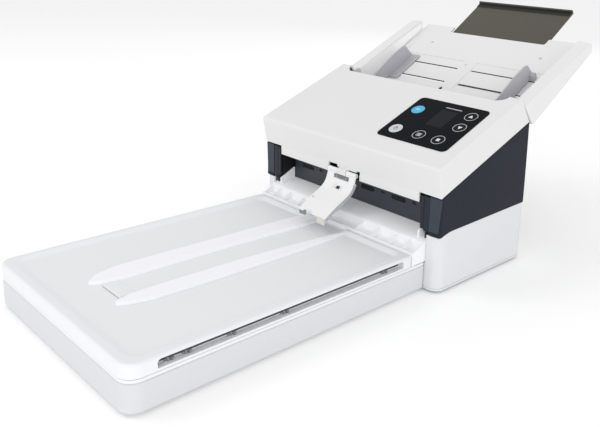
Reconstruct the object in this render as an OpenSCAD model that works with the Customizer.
// Sheet fed document scanner with an A4 flatbed in front of the feeder.
// Millimetres, +X to the right seen from the front, +Y to the back, +Z up, desk at Z = 0.
// Parts are drawn with the feeder's front face at Y = 0; placed() then moves them by shift_y,
// so that the whole object is centred on X = 0 and Y = 0.

/* [Feeder] */
// Width of the feeder body
body_w = 316; // [312:1:318]
// Depth of the feeder base
body_d = 167; // [165:1:170]
// Height of the base at its front corners
base_front_h = 68; // [66:1:69]
// Height of the base at the back
base_back_h = 76; // [75:1:77]
// Wall of every casing
wall = 2.5; // [2:0.1:2.6]
// Slope of the feeder's top cover
top_slope = 22.3; // [22:0.1:22.5]
// Front top edge of the cover, height
cover_front_h = 150.7; // [150:0.1:151]
// Front top edge of the cover, how far it leans forward
cover_lean = 6.6; // [6:0.1:7]
// Slope of the paper path and of the input tray
path_slope = 30; // [30:1:30]

/* [Flatbed] */
// Half width of the flatbed
bed_half = 139; // [138.5:0.5:139]
// Length of the flatbed in front of the feeder
bed_l = 366; // [364:1:370]
// Radius of the flatbed's front corners
bed_corner_r = 15.5; // [12:0.5:18]
// Top of the flatbed case
bed_h = 35; // [35:1:35]
// Top of the closed lid
lid_h = 49.2; // [49:0.1:50]
// Scanning window, width
platen_w = 216; // [210:1:218]

/* [Input tray] */
// Half width over the tray's side rims
tray_half = 160; // [159:0.5:160]
// Distance of each paper guide from the middle
guide_x = 108; // [106:1:109]
// Length of the tray extension that shows when it is pulled out
ext_l = 80.6; // [70:0.1:84]

/* [Rollers and gears] */
// Radius of the driven rollers
roll_r = 8; // [8:0.5:8]
// Radius of the driven shafts
shaft_r = 3; // [2.5:0.5:3]
// Running clearance of a shaft in its bore
clearance = 0.05; // [0.02:0.01:0.08]
// Gear module
gear_module = 1; // [1:1:1]

/* [Controls] */
// Radius of the round panel buttons
button_r = 8.9; // [6:0.1:9]
// Height of a button above the panel
button_up = 0.9; // [0.7:0.1:1.2]

/* [Hidden] */
$fn = 48;
body_half = body_w/2;

// Sloping frames, as [y, z] origins
path_origin = [25, 99.4];
top_origin = [-cover_lean, cover_front_h];
ext_origin = [304.6, 257.04];
ext_slope = 33;
rear_y = ext_origin[0] + ext_l*cos(ext_slope) + 2.5*sin(ext_slope);
shift_y = -(rear_y - bed_l)/2;

// Axes along X, as [y, z]
door_hinge = [12, 78];
flap_hinge = [-2, 109.5];
tray_hinge = [152.6, 201.5];
stop_hinge = [-308, 46.05];
tray_pin_r = 2.5;
flap_pin_r = 1.5;
stop_pin_r = 0.8;

// Flatbed: lid hinge axis [x, z] and the hinges' places in y, guide rod axis [x, z], belt
lid_hinge = [-136.3, 38];
lid_hinge_ys = [-315, -95];
lid_pin_r = 1.5;
guide_rod_axis = [0, 11];
guide_rod_r = 4;
belt_x = 20;
motor_pulley_y = -14;
idler_pulley_y = -352;
pulley_pin_r = 2;

// Base screws, in mirrored pairs
screw_x = 146;
screw_ys = [22, 142];

// Inner side plates and half widths of the guides and door between them
frame_in = 133;
frame_out = 136;
guide_half = 124.8;
door_half = 124.6;

// Gear train on the left: places along the path, then axes as [y, z]
roller_teeth = 24;
idler_teeth = 26;
motor_teeth = 16;
mesh = gear_module*(roller_teeth + idler_teeth)/2;
exit_s = 10;
feed_s = exit_s + 2*mesh;
pick_s = exit_s + 4*mesh;
roller_up = -8;
idler_front = path_at(exit_s + mesh, roller_up);
idler_rear = path_at(exit_s + 3*mesh, roller_up);
motor_axis = path_at(feed_s, roller_up - gear_module*(roller_teeth + motor_teeth)/2);
separation_axis = path_at(pick_s, 8.3);
gear_x0 = -146;
gear_x1 = -140;
idler_pin_r = 2;
motor_shaft_r = 1.5;
pinch_up = 5.3;
pinch_shaft_r = 2;

// Distance of the roller centres from the middle
roller_xs = [40, 90];
pick_x = 20;

// Paper guide racks and their pinion, in the path frame
pinion_s = 220;
pinion_teeth = 16;
pinion_pin_r = 2;
rack_z = -8;
rack_t = 2.4;
rack_back_z = rack_z + rack_t;

// Control panel, in the top cover frame: [x, distance up the slope]
scan_at = [47.5, 94];
power_at = [50, 48];
menu_at = [88, 47.5];
stop_at = [118, 47];
up_at = [124.5, 103];
down_at = [126, 78];
buttons_at = [scan_at, power_at, menu_at, stop_at, up_at, down_at];

white = [0.93, 0.93, 0.93];
slate = [0.2, 0.225, 0.26];
dark = [0.12, 0.13, 0.15];
steel = [0.7, 0.7, 0.72];
pom = [0.9, 0.88, 0.8];
rubber = [0.2, 0.2, 0.2];
board_green = [0.1, 0.35, 0.2];
bar_glass = [0.6, 0.7, 0.75];
guide_grey = [0.6, 0.6, 0.62];

// ---- outlines and frames ---------------------------------------------------
function polar(r, a) = [r*cos(a), r*sin(a)];
function arc(centre, r, a0, a1, n = 6) = [for (i = [0:n]) centre + polar(r, a0 + (a1-a0)*i/n)];
// rounded rectangle with its own radius at the low-Y and high-Y corners
function round_rect(x0, y0, x1, y1, low_r, high_r) = concat(
  arc([x1-low_r, y0+low_r], low_r, -90, 0),
  arc([x1-high_r, y1-high_r], high_r, 0, 90),
  arc([x0+high_r, y1-high_r], high_r, 90, 180),
  arc([x0+low_r, y0+low_r], low_r, 180, 270));
function mid_rect(half, y0, y1, low_r, high_r) = round_rect(-half, y0, half, y1, low_r, high_r);

// [y, z] of a point in a sloping frame: distance up the slope and above it
function sloped(origin, slope, along, up) =
  origin + [along*cos(slope) - up*sin(slope), along*sin(slope) + up*cos(slope)];
function path_at(along, up) = sloped(path_origin, path_slope, along, up);
function top_at(along, up) = sloped(top_origin, top_slope, along, up);

module placed() { translate([0, shift_y, 0]) children(); }
module in_frame(origin, slope) {
  translate([0, origin[0], origin[1]]) rotate([slope, 0, 0]) children();
}
module on_path() { in_frame(path_origin, path_slope) children(); }
module on_top() { in_frame(top_origin, top_slope) children(); }
module on_extension() { in_frame(ext_origin, ext_slope) children(); }
module both() {
  children();
  mirror([1, 0, 0]) children();
}

// ---- solids between two limits; "mid" ones span -half..half in X -------------
module prism_x(x0, x1, points) {
  translate([x0, 0, 0]) rotate([90, 0, 90]) linear_extrude(x1-x0) polygon(points);
}
module mid_prism(half, points) { prism_x(-half, half, points); }
module prism_z(z0, z1, points) { translate([0, 0, z0]) linear_extrude(z1-z0) polygon(points); }
module box(x0, x1, y0, y1, z0, z1) { translate([x0, y0, z0]) cube([x1-x0, y1-y0, z1-z0]); }
module mid_box(half, y0, y1, z0, z1) { box(-half, half, y0, y1, z0, z1); }
// rods take their axis as the two coordinates across it
module rod_x(x0, x1, axis, r) {
  translate([x0, axis[0], axis[1]]) rotate([0, 90, 0]) cylinder(h = x1-x0, r = r);
}
module mid_rod(half, axis, r) { rod_x(-half, half, axis, r); }
module rod_y(y0, y1, axis, r) {
  translate([axis[0], y1, axis[1]]) rotate([90, 0, 0]) cylinder(h = y1-y0, r = r);
}
module rod_z(z0, z1, axis, r) { translate([axis[0], axis[1], z0]) cylinder(h = z1-z0, r = r); }

// ---- involute spur gears -----------------------------------------------------
function involute(base_r, r) = let (a = acos(min(1, base_r/r))) tan(a)*180/PI - a;
function gear(teeth, phase = 0) = let (
    pitch_r = gear_module*teeth/2,
    base_r = pitch_r*cos(20),
    tip_r = pitch_r + 0.9*gear_module,
    root_r = pitch_r - 1.15*gear_module,
    flank_r = max(base_r, root_r),
    root_half = 90/teeth*0.92 + involute(base_r, pitch_r),
    // flank as [radius, half angle of the tooth there]
    flank = [for (k = [0:3]) let (r = flank_r + (tip_r-flank_r)*k/3)
      [r, root_half - involute(base_r, r)]])
  [for (i = [0:teeth-1]) let (mid = 360/teeth*i + phase) each concat(
    [polar(root_r, mid - root_half)],
    [for (k = [0:3]) polar(flank[k][0], mid - flank[k][1])],
    [for (k = [3:-1:0]) polar(flank[k][0], mid + flank[k][1])],
    [polar(root_r, mid + root_half)])];
// gear with its axis along X
module gear_x(x0, x1, axis, teeth, phase) {
  in_frame(axis, path_slope) prism_x(x0, x1, gear(teeth, phase));
}

// ---- feeder base -------------------------------------------------------------
// upper edge of the base's sides, [y, z]
function seam(lift = 0) = [[-2, base_front_h+lift], [3, base_front_h+0.5+lift],
  [14, base_front_h+3+lift], [26, base_front_h+4.6+lift], [body_d+2, base_back_h+lift]];
function base_plan(inset = 0) =
  mid_rect(body_half-inset, inset, body_d-inset, 12-inset, 7-inset);

module base_housing() { placed() color(white) difference() {
  union() {
    difference() {
      intersection() {
        mid_prism(body_half, concat([[body_d+2, 3], [-2, 3]], seam()));
        prism_z(2, 90, base_plan());
      }
      prism_z(1, 91, base_plan(wall));
      mid_box(bed_half+0.4, -1, 26, 34.6, 92);
    }
    // screw bosses, each with a rib to the side
    both() for (y = screw_ys) difference() {
      union() {
        rod_z(5.6, 22, [screw_x, y], 4.5);
        box(screw_x, 157, y-1.2, y+1.2, 5.6, 22);
      }
      rod_z(5.5, 16, [screw_x, y], 1.55);
    }
  }
  // back openings: two sockets and the power switch
  box(55, 69, 160, 170, 10.1, 23);
  box(78, 91, 160, 170, 10.1, 22.6);
  box(100, 114, 160, 170, 19.5, 40.5);
} }

module bottom_plate() { placed() color(slate) difference() {
  prism_z(3, 5.5, base_plan(wall+0.1));
  both() for (y = screw_ys) rod_z(2, 7, [screw_x, y], 1.7);
  for (x = [-80:20:80]) box(x-1.5, x+1.5, 50, 90, 2, 7);
} }

module exit_ramp() { placed() color(white) difference() {
  ramp_half = bed_half-0.2;
  union() {
    // ramp skin, [y, z]
    mid_prism(ramp_half, [[24.8, 67], [-3, 59.8], [-4.5, 50.2], [-18.6, 47.2], [-18.9, 51],
      [-21.4, 51], [-21.6, 35.2], [-19.2, 35.2], [-19.1, 44.6], [-1.8, 47.4], [-1, 57.6],
      [24.8, 64.2]]);
    for (x = [-120:40:120])
      prism_x(x-1.2, x+1.2, [[-3.2, 59.4], [-19, 50.6], [-18.6, 45.6], [-4.4, 48.6]]);
    both() prism_x(bed_half-2.8, ramp_half,
      [[24.8, 66.5], [-3, 59.2], [-19.2, 50.8], [-19.2, 36], [24.8, 36]]);
    // hollow tongue reaching forward into the lid
    difference() {
      box(-29.5, 33.5, -59.5, -21.2, 35.2, lid_h-0.2);
      mid_box(18, -60, -22.5, lid_h-2.2, lid_h+1);
      box(-27, 31, -57, -23.5, 34, lid_h-4.5);
    }
  }
  both() box(132.8, 136.15, 3.8, 26, 30, 70);
} }

module side_cover(flip) { placed() color(slate) mirror([flip, 0, 0]) union() {
  intersection() {
    prism_x(body_half-wall, body_half, concat(
      [[body_d-3.6, 114.7 + 0.397*(body_d-3.6)], [0.4, 114.8], [0.4, base_front_h+0.8]],
      [for (p = seam(0.3)) if (p[0] > 0 && p[0] < 100) p],
      [[body_d-2.2, base_back_h+0.2]]));
    prism_z(60, 200, mid_rect(body_half, 0.3, body_d, 4, 3));
  }
  // front column: chamfered upright beside the exit opening
  prism_z(base_front_h+4.6, 114.3, [[141.2, 0.6], [body_half-3.4, 0.6],
    [body_half-1.2, 1.7], [body_half-0.3, 4.2], [body_half-0.3, 20], [body_half-3, 20],
    [body_half-3.2, 6], [body_half-4.2, 4.2], [body_half-5.6, 3.4], [141.2, 3.4]]);
} }
module side_cover_left() { side_cover(1); }
module side_cover_right() { side_cover(0); }

// inner side plate with the roller bores
module side_frame(flip) { mirror([flip, 0, 0]) difference() {
  union() {
    prism_x(frame_in, frame_out, [[4, 12], [158, 12], [158, 166], [140, 164], [26, 98.5],
      [20, 112.8], [4, 112.8]]);
    prism_z(base_front_h+3.5, 113, [[frame_in, 0.9], [140.8, 0.9], [140.8, 3.6],
      [frame_out, 4.4], [frame_out, 5], [frame_in, 5]]);
  }
  rod_x(130, 140, door_hinge, shaft_r+clearance);
  for (s = [exit_s, feed_s, pick_s])
    rod_x(130, 140, path_at(s, roller_up), shaft_r+clearance);
} }
module side_frame_left() { placed() color(dark) difference() {
  union() {
    side_frame(1);
    for (axis = [idler_front, idler_rear]) {
      rod_x(-147, -134, axis, idler_pin_r);
      rod_x(-139, -135.5, axis, 4);
    }
  }
  rod_x(-140, -130, motor_axis, 4.2);
} }
module side_frame_right() { placed() color(dark) side_frame(0); }

module rear_cover() { placed() color(slate) difference() {
  prism_z(base_back_h+0.3, 171, mid_rect(body_half-wall-0.2, body_d-2.9, body_d-0.4, 1, 1));
  for (x = [-100:10:100]) box(x-1.2, x+1.2, body_d-5, body_d+2, 96, 120);
} }

module lower_guide() { placed() color(dark) on_path() difference() {
  union() {
    mid_box(guide_half, -1, 9, -3, -0.5);
    mid_box(132.6, 9, 150, -3, -0.5);
    for (x = [-110:20:110]) box(x-1, x+1, 70, 100, -8, -2.5);
  }
  // openings for the rollers and the scan bar
  both() for (x = roller_xs) for (s = [exit_s, feed_s])
    box(x-11.5, x+11.5, s-7.5, s+7.5, -20, 2);
  both() box(pick_x-10, pick_x+10, pick_s-8, pick_s+8, -20, 2);
  mid_box(109, 26, 44, -20, 2);
  // relief over the shafts
  for (s = [feed_s, pick_s]) mid_box(140, s-4, s+4, -20, -2.6);
} }

module exit_wall() { placed() color(dark) difference() {
  union() {
    mid_box(guide_half, 25.2, 27.7, 66, 94);
    mid_box(guide_half, 23.5, 27.7, 92.2, 94);
  }
  for (x = [-97, -18, 18, 71]) box(x-11.5, x+11.5, 20, 30, 85, 90.4);
} }

// body and glass are each [low, high] above the paper path
module scan_bar(body, glass) { placed() on_path() {
  color(dark) mid_box(112, 25, 45, body[0], body[1]);
  color(bar_glass) mid_box(108, 27, 43, glass[0], glass[1]);
} }
module lower_scan_bar() { scan_bar([-17, -3.1], [-3.1, -0.7]); }

module feed_motor() { placed() {
  color(steel) rod_x(-131, -104, motor_axis, 13);
  color(steel) rod_x(-147, -130, motor_axis, motor_shaft_r);
  color(steel) rod_x(-132.9, -130.9, motor_axis, 3.9);
} }

module main_board() { placed() {
  color(board_green) box(20, 130, 60, 158, 9, 10.6);
  // sockets at the back edge
  color(steel) box(56, 68, 150, 166.2, 10.5, 22.5);
  color(dark) box(79, 90, 152, 166.2, 10.5, 22);
  color(dark) {
    box(30, 44, 90, 104, 10.5, 12.5);
    box(60, 80, 90, 110, 10.5, 13);
    box(100, 110, 70, 90, 10.5, 16);
  }
  for (x = [30:12:114]) color(steel) rod_z(10.5, 18, [x, 70], 2.6);
} }

module feet() { placed() color(rubber)
  both() for (p = [[128, 145], [128, 60], [116, -340], [116, -40]]) rod_z(0, 3, p, 7);
}

module chassis_screws() { placed() color(steel) both() for (y = screw_ys) difference() {
  union() {
    rod_z(1.4, 3, [screw_x, y], 3);
    rod_z(2.9, 14, [screw_x, y], 1.5);
  }
  box(screw_x-4, screw_x+4, y-0.4, y+0.4, 1, 2);
} }

module tray_brackets() { placed() color(white) both() difference() {
  prism_x(136.1, 139.1, concat([[159.5, 150], [159.5, 196]],
    arc(tray_hinge, 6.2, -10, 190, 10), [[147, 150]]));
  rod_x(130, 145, tray_hinge, tray_pin_r+clearance);
} }

module power_switch() { placed() color(dark) prism_x(100.7, 113.3, [[158, 26], [163, 22],
  [168, 22.4], [167.3, 26], [167, 30], [167.3, 34], [168.2, 37.6], [163, 38], [158, 34]]); }

// ---- flatbed -----------------------------------------------------------------
function bed_plan(inset = 0) =
  mid_rect(bed_half-inset, -bed_l+inset, -0.4-inset, bed_corner_r-inset, 2.6);

module flatbed_case() { placed() color(white) difference() {
  union() {
    difference() {
      prism_z(3, 32, bed_plan());
      prism_z(5.5, 40, bed_plan(wall));
    }
    rod_z(5, 13.4, [belt_x, idler_pulley_y], pulley_pin_r);
    // guide rod holders and floor ribs
    for (y = [-bed_l+3.5, -3.6]) mid_box(8, y-1.5, y+1.5, 5, 15);
    both() for (y = [-300:60:-60]) box(70, 130, y-1, y+1, 5, 8);
  }
  rod_y(-362.3, -3.4, guide_rod_axis, guide_rod_r+0.02);
} }

module flatbed_frame() { placed() color(white) difference() {
  union() {
    prism_z(32, bed_h, bed_plan());
    for (y = lid_hinge_ys) {
      rod_y(y-6, y+6, lid_hinge, 2.4);
      box(lid_hinge[0]-1.6, lid_hinge[0]+2.2, y-6, y+6, bed_h-1, lid_hinge[1]);
    }
  }
  mid_box(platen_w/2, -357.5, -60.5, 30, 40);
  for (y = lid_hinge_ys) rod_y(y-8, y+8, lid_hinge, lid_pin_r);
} }

module platen_glass() { placed() color([0.75, 0.85, 0.85, 0.35])
  mid_box(114, -361, -56.5, 29, 31.95); }
module guide_rod() { placed() color(steel) rod_y(-362.2, -3.5, guide_rod_axis, guide_rod_r); }

module scan_carriage() { placed() color(dark) difference() {
  union() {
    mid_box(114, -60, -28, 15, 20.4);
    mid_box(9, -60, -28, 5.8, 16);
    both() box(108, 114, -60, -28, 19, 27.5);
  }
  rod_y(-62, -26, guide_rod_axis, guide_rod_r+clearance);
} }

module scan_sensor() { placed() {
  color(dark) mid_box(107, -52, -36, 20.5, 26.6);
  color([0.7, 0.8, 0.85]) mid_box(105, -50, -38, 26.5, 28.4);
} }

// solid loop round both pulleys
module belt_loop(z0, z1, r) { union() {
  box(belt_x-r, belt_x+r, idler_pulley_y, motor_pulley_y, z0, z1);
  for (y = [idler_pulley_y, motor_pulley_y]) rod_z(z0, z1, [belt_x, y], r);
} }
module scan_belt() { placed() color(rubber) difference() {
  belt_loop(8.2, 12.8, 6.2);
  belt_loop(8, 13, 5.1);
} }

module scan_motor() { placed() {
  color(steel) rod_z(15, 28.5, [belt_x, motor_pulley_y], 11);
  color(steel) rod_z(7, 16, [belt_x, motor_pulley_y], pulley_pin_r);
} }

module pulley(y) { placed() color(pom) difference() {
  union() {
    // each step: [bottom, top, radius]
    for (step = [[8.1, 12.9, 5], [7, 8, 6.6], [7.9, 8.2, 4.6], [12.8, 13.6, 4.6]])
      rod_z(step[0], step[1], [belt_x, y], step[2]);
  }
  rod_z(6, 15, [belt_x, y], pulley_pin_r+clearance);
} }
module motor_pulley() { pulley(motor_pulley_y); }
module idler_pulley() { pulley(idler_pulley_y); }

// ---- flatbed lid -------------------------------------------------------------
function lid_plan(inset = 0) = mid_rect(bed_half-inset, -bed_l+inset, -22.4-inset,
  bed_corner_r-inset, max(1, 3-inset));
// long bar on the lid with a pointed front end; x1 is its outer edge
module rail(x1) {
  x0 = 18;
  tip_y = -320;
  prism_z(lid_h-2.4, lid_h-0.1, [[x0, -22.6], [x1, -22.6], [x1, tip_y+28], [x1-3, tip_y+12],
    [x1-12, tip_y], [x0+5, tip_y+14], [x0, tip_y+30]]);
}

module lid_shell() { placed() color(white) difference() {
  hinge_x = lid_hinge[0];
  union() {
    difference() {
      prism_z(35.6, lid_h, lid_plan());
      intersection() {
        prism_z(30, 43.4, lid_plan(wall));
        box(-160, 128.4, -400, 0, 20, 60);
      }
      prism_z(lid_h-2, 60, mid_rect(bed_half-15, -bed_l+17, -23.6, 6, 1));
      box(-142, hinge_x+2.2, -400, -20, 30, 37);
    }
    intersection() {
      prism_z(30, 60, lid_plan(0.5));
      union() {
        rail(44.5);
        mirror([1, 0, 0]) rail(43);
      }
    }
    // hinge knuckles on both sides of each frame knuckle
    for (y = lid_hinge_ys) for (d = [-13, 6.3]) {
      rod_y(y+d, y+d+6.7, lid_hinge, 2.4);
      box(hinge_x-2, hinge_x+2, y+d, y+d+6.7, lid_hinge[1], 45);
    }
  }
  // room for the frame's hinge knuckles, and pin bores
  for (y = lid_hinge_ys) {
    box(-142, -132.6, y-6.3, y+6.3, 30, 41.6);
    rod_y(y-14, y+14, lid_hinge, lid_pin_r+clearance);
    box(hinge_x-2.6, hinge_x+2.2, y-6.3, y+6.3, 30, 41.6);
  }
  // room for the tongue under the exit flap
  box(-30, 34, -60, -20, 30, 60);
  // finger recess in the right side
  box(131, 142, -336, -36, 38, 46);
  // pocket of the paper stop, with its pivot holes
  mid_box(17.4, stop_hinge[0]-1.75, -292.6, stop_hinge[1]-1.55, 60);
  mid_rod(19, stop_hinge, stop_pin_r+clearance);
} }

module lid_backing() { placed() color([0.97, 0.97, 0.97])
  prism_z(36, 43.3, mid_rect(112, -359, -61, 3, 3)); }
module lid_pins() { placed() color(steel)
  for (y = lid_hinge_ys) rod_y(y-13, y+13, lid_hinge, lid_pin_r); }

module paper_stop() { placed() color(white) union() {
  y = stop_hinge[0];
  z = stop_hinge[1];
  mid_box(17, y-0.9, -293, z-0.95, z+0.95);
  mid_rod(18.6, stop_hinge, stop_pin_r);
  for (x = [-12:4:12]) box(x-0.6, x+0.6, y+3, -294.5, z+0.9, z+1.3);
} }

// ---- door: cover and control panel -------------------------------------------
module front_cover() { placed() color(white) difference() {
  inner_front_y = wall-cover_lean;
  union() {
    difference() {
      mid_prism(body_half, [[0, 115.4], top_origin, top_at(162, 0), [163.4, 180.3]]);
      mid_prism(body_half-wall, [[wall, 105], [wall+0.1, 116],
        [inner_front_y+0.6, cover_front_h-1.6], top_at(160, -wall), [160.9, 180],
        [150, 165], [60, 120]]);
      mid_prism(140.3, [top_at(150, -wall), top_at(175, -wall), [190, 180], [160, 160],
        [120, 150]]);
      on_top() mid_box(129, 147, 180, -60, 20);
      on_top() mid_box(140.3, 151, 180, -60, 20);
    }
    mid_prism(door_half, [[0, 115.6], [0, 103.8], [wall, 103.8], [wall, 117],
      [inner_front_y+0.6, cover_front_h-2], [inner_front_y-0.5, cover_front_h-2]]);
    box(-7.6, 7.6, -5.2, wall, 106, 113.6);
  }
  // lower edge notches for the flap knuckles
  both() box(7.6, 27.5, -8, 6, 100, 113.2);
  mid_rod(9, flap_hinge, flap_pin_r+clearance);
  // button holes and display opening
  on_top() for (p = buttons_at) rod_z(-6, 4, p, button_r+0.6);
  on_top() box(79, 103, 70, 105, -6, 6);
  // opening of the latch in the left side
  box(-body_half-1, -body_half+wall+1, 112.6, 138, 174.5, 184.5);
} }

// outline round the display opening
function display_rim(margin, r) = round_rect(79-margin, 70-margin, 103+margin, 105+margin, r, r);
module control_panel() { placed() color([0.06, 0.06, 0.07]) on_top() difference() {
  prism_z(0.02, 0.7, round_rect(32, 29.4, 141, 122, 6, 6));
  for (p = buttons_at) rod_z(-1, 3, p, button_r+0.3);
  prism_z(-1, 2, display_rim(1, 1.5));
} }
module display_window() { placed() color([0.2, 0.21, 0.23]) on_top()
  prism_z(0.05, 0.62, display_rim(0.8, 1.4)); }

module button(spot, paint) { placed() color(paint) on_top() union() {
  difference() {
    rod_z(-3.2, 0.7+button_up, spot, button_r);
    rod_z(-4, -1, spot, button_r-1.4);
  }
  rod_z(-9.8, -0.8, spot, 2);
} }
module button_scan() { button(scan_at, [0.36, 0.78, 0.92]); }
module button_power() { button(power_at, [0.85, 0.85, 0.86]); }
module button_menu() { button(menu_at, dark); }
module button_stop() { button(stop_at, dark); }
module button_up_arrow() { button(up_at, dark); }
module button_down_arrow() { button(down_at, dark); }

module control_board() { placed() on_top() {
  color(board_green) box(34, 139, 32, 109, -13.6, -12);
  color([0.15, 0.16, 0.18]) box(80, 102, 71, 104, -12, -0.9);
  for (p = buttons_at) color(steel) rod_z(-12.1, -10.7, p, 3);
} }

// ---- door: frame and rollers -------------------------------------------------
module door_frame() { placed() color(dark) difference() {
  post_y = 106;
  post_z0 = path_at((post_y-path_origin[0])/cos(path_slope), 3)[1];
  post_z1 = top_at((post_y+cover_lean)/cos(top_slope), -wall)[1]-2;
  union() {
    on_path() mid_box(door_half, -4, 131, 1.5, 4);
    both() on_path() box(122, door_half, -4, 131, 3.9, 20);
    // hinge arms and their ties to the frame
    both() prism_x(126.6, 131.4, concat(arc(door_hinge, 6.8, 180, 360),
      [[20, 100], [24, 112], [52, 128], [52, 134], [8, 122], [5, 108]]));
    both() box(122, 131.4, 12, 20, 113, 121);
    both() on_path() box(122, 131.4, 18, 26, 12, 19.9);
    both() rod_x(131, 135.9, door_hinge, shaft_r);
    // posts up to the cover
    both() rod_z(post_z0, post_z1, [118, post_y], 3.5);
    both() prism_x(122, door_half, [[2.7, 106], [22, 104], [26, 122], [2.7, 122]]);
  }
  // openings for the rollers and the scan bar
  on_path() both() for (x = roller_xs) for (s = [exit_s, feed_s])
    box(x-11.5, x+11.5, s-6.4, s+6.4, -1, 12);
  on_path() both() box(pick_x-10, pick_x+10, pick_s-9, pick_s+9, -1, 16);
  on_path() mid_box(109, 26, 44, -1, 10);
  // bores and relief for the shafts
  for (s = [exit_s, feed_s]) {
    mid_rod(128, path_at(s, pinch_up), pinch_shaft_r+clearance);
    on_path() mid_box(121.9, s-3, s+3, 2.6, 14);
  }
  on_path() mid_box(121.9, pick_s-4, pick_s+4, 3.8, 14);
  mid_rod(128, separation_axis, shaft_r+clearance);
} }

module upper_scan_bar() { scan_bar([4.1, 18], [1.7, 4.1]); }

module separation_roller() { placed() union() {
  color(steel) mid_rod(124.4, separation_axis, shaft_r);
  both() color(rubber) rod_x(pick_x-8, pick_x+8, separation_axis, roll_r);
} }
module pinch_roller(s) { placed() union() {
  axis = path_at(s, pinch_up);
  color(steel) mid_rod(124.4, axis, pinch_shaft_r);
  both() for (x = roller_xs) color(rubber) rod_x(x-10, x+10, axis, 5);
} }
module exit_pinch_roller() { pinch_roller(exit_s); }
module feed_pinch_roller() { pinch_roller(feed_s); }

module cover_latch() { placed() color(slate) difference() {
  union() {
    box(-body_half+0.3, -body_half+6, 118.4, 137.6, 174.9, 184.1);
    box(-body_half+3.2, -body_half+6, 108, 142.4, 172, 187);
  }
  box(-body_half, -body_half+1.4, 121, 135, 177, 182);
} }

// ---- exit flap ---------------------------------------------------------------
// face of the flap from its hinge down, [y, z]
flap_face = [[-4.3, 107.6], [-7, 99], [-10.4, 92.4], [-15, 87.6], [-22, 83.4], [-31, 79],
  [-42, 72.6], [-52, 66]];
flap_last = len(flap_face)-1;
function flap_normal(i) = let (
    run = flap_face[min(flap_last, i+1)] - flap_face[max(0, i-1)])
  [-run[1], run[0]]/norm(run);
// flap profile between two offsets from its face, from point "first" down
function flap_band(d0, d1, first = 0) = concat(
  [for (i = [first:flap_last]) flap_face[i] + d0*flap_normal(i)],
  [for (i = [flap_last:-1:first]) flap_face[i] + d1*flap_normal(i)]);

module flap_pin() { placed() color(steel) mid_rod(26.6, flap_hinge, flap_pin_r); }
module exit_flap() { placed() color(white) difference() {
  union() {
    mid_prism(25, flap_band(0, 1.6));
    both() rod_x(8.2, 25, flap_hinge, 2.9);
    both() prism_x(23.4, 25, flap_band(0.4, 4.2, 1));
    box(6, 23, -52.4, -49.4, 51.8, 67.4);
  }
  mid_rod(26, flap_hinge, flap_pin_r+clearance);
  box(-7, 9, -30, -22, 70, 95);
  box(-20, -8, -60, -46, 50, 75);
  mid_box(8.2, -12, 4, 101, 116);
} }

// ---- input tray --------------------------------------------------------------
module input_tray() { placed() color(white) union() {
  on_path() difference() {
    mid_box(140, 154.4, 331, -2.6, 0);
    both() box(135.2, 141, 150, 172, -5, 5);
    mid_box(85, 321.7, 335, -5, 5);
    // through slots of the paper guides, then their shallow recess
    both() box(11.4, 131, 202.4, 205, -5, 5);
    both() box(11.4, 122.5, 235.6, 237.4, -5, 5);
    both() box(11, 131, 190, 255, -0.7, 5);
    both() box(131, 136, 174, 255, -0.7, 5);
  }
  // hollow side rims, [y, z]
  both() difference() {
    prism_x(139.6, tray_half, concat([[168.6, 175.8]], arc(tray_hinge, 1.9, 212, 114, 8),
      [[294, 267.8], [296.2, 267], [297.6, 256.5]]));
    prism_x(142, tray_half-2.2, [[155.5, 202.4], [292, 264.2], [293.6, 262], [294.8, 252],
      [200, 190], [171.6, 172], [170.6, 177.8]]);
  }
  both() rod_x(136.2, 140, tray_hinge, tray_pin_r);
  // slides for the extension
  on_extension() both() {
    box(85, 88, -22, -2, -5.6, 1.6);
    box(80, 88, -22, -2, -5.6, -3.2);
  }
  on_path() rod_z(-8.6, -2, [0, pinion_s], pinion_pin_r);
} }

module tray_extension() { placed() color([0.35, 0.345, 0.31, 0.8]) on_extension() union() {
  mid_box(84, -14, ext_l, -2.5, 0);
  mid_box(84, ext_l-3, ext_l, -2.5, 4.2);
  mid_box(84, ext_l-11, ext_l, -1, 0.8);
} }

// rack teeth beside the pinion: side 1 is behind it, -1 in front, teeth towards it
module rack(side, first_x) {
  translate([0, pinion_s + side*gear_module*pinion_teeth/2, rack_z])
  linear_extrude(rack_t) union() {
    for (i = [0:29]) {
      x = first_x + i*PI*gear_module;
      polygon([[x-1.02, side*1.2], [x+1.02, side*1.2], [x+0.32, -side*0.9],
        [x-0.32, -side*0.9]]);
    }
  }
}
// sole, upright and block of the right guide
module guide_common() { union() {
  box(92, 109, 190, 249, 0.3, 1.9);
  prism_x(guide_x, guide_x+2.2, [[161, 0.6], [160, 14], [164, 20.5], [190, 23.4],
    [212, 25], [236, 24.4], [242, 21.5], [246, 8], [249, 0.6]]);
  box(guide_x, guide_x+9, 238, 246, 0.3, 8);
} }
module guide_left() { placed() color(guide_grey) on_path() union() {
  mirror([1, 0, 0]) guide_common();
  box(-104, -96, 203, 204.4, -4.4, 0.4);
  box(-104, -96, 235.9, 237.1, rack_z, 0.4);
  box(-104, -96, 229.2, 237.1, rack_z, rack_back_z);
  box(-104, 12, 229.2, 232.2, rack_z, rack_back_z);
  rack(1, -26.5*PI);
} }
module guide_right() { placed() color(guide_grey) on_path() union() {
  guide_common();
  box(96, 104, 235.9, 237.1, -4.4, 0.4);
  box(96, 104, 203, 204.4, rack_z, 0.4);
  box(96, 104, 203, 210.8, rack_z, rack_back_z);
  box(-12, 104, 207.8, 210.8, rack_z, rack_back_z);
  rack(-1, -2.5*PI);
} }
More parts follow.
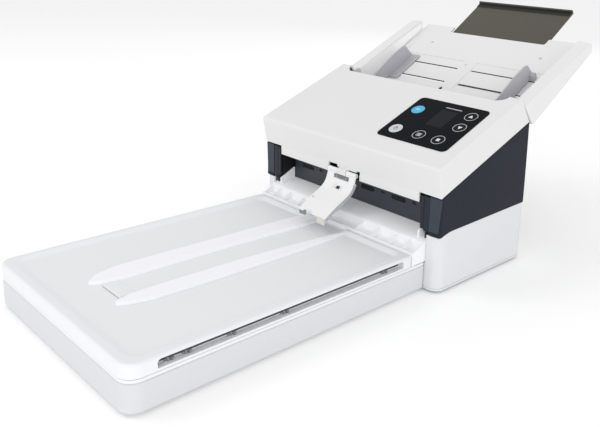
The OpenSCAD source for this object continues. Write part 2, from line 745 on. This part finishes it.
module guide_pinion() { placed() color(pom) on_path() translate([0, pinion_s, rack_z])
  linear_extrude(rack_t) difference() {
    polygon(gear(pinion_teeth));
    circle(r = pinion_pin_r+clearance);
  }
}

// ---- driven rollers and gears ------------------------------------------------
module drive_roller(s, xs, half_length) { placed() union() {
  axis = path_at(s, roller_up);
  color(steel) rod_x(-146.6, 135.9, axis, shaft_r);
  both() for (x = xs) color(rubber) rod_x(x-half_length, x+half_length, axis, roll_r);
  color(pom) gear_x(gear_x0, gear_x1, axis, roller_teeth, 0);
} }
module pick_roller() { drive_roller(pick_s, [pick_x], 8); }
module feed_roller() { drive_roller(feed_s, roller_xs, 10); }
module exit_roller() { drive_roller(exit_s, roller_xs, 10); }

module idler_gear(axis) { placed() color(pom) difference() {
  gear_x(gear_x0, gear_x1, axis, idler_teeth, 180/idler_teeth);
  rod_x(-150, -136, axis, idler_pin_r+clearance);
} }
module idler_gear_front() { idler_gear(idler_front); }
module idler_gear_rear() { idler_gear(idler_rear); }

module motor_pinion() { placed() color([0.75, 0.62, 0.3]) difference() {
  gear_x(gear_x0, gear_x1+0.4, motor_axis, motor_teeth, 90+180/motor_teeth);
  rod_x(-150, -136, motor_axis, motor_shaft_r+clearance);
} }

base_housing();
bottom_plate();
exit_ramp();
side_cover_left();
side_cover_right();
side_frame_left();
side_frame_right();
rear_cover();
lower_guide();
exit_wall();
lower_scan_bar();
feed_motor();
main_board();
feet();
chassis_screws();
tray_brackets();
power_switch();
flatbed_case();
flatbed_frame();
platen_glass();
guide_rod();
scan_carriage();
scan_sensor();
scan_belt();
scan_motor();
motor_pulley();
idler_pulley();
lid_shell();
lid_backing();
lid_pins();
paper_stop();
front_cover();
control_panel();
display_window();
button_power();
button_menu();
button_stop();
button_scan();
button_up_arrow();
button_down_arrow();
control_board();
door_frame();
upper_scan_bar();
separation_roller();
exit_pinch_roller();
feed_pinch_roller();
cover_latch();
flap_pin();
exit_flap();
input_tray();
tray_extension();
guide_left();
guide_right();
guide_pinion();
pick_roller();
feed_roller();
exit_roller();
idler_gear_front();
idler_gear_rear();
motor_pinion();
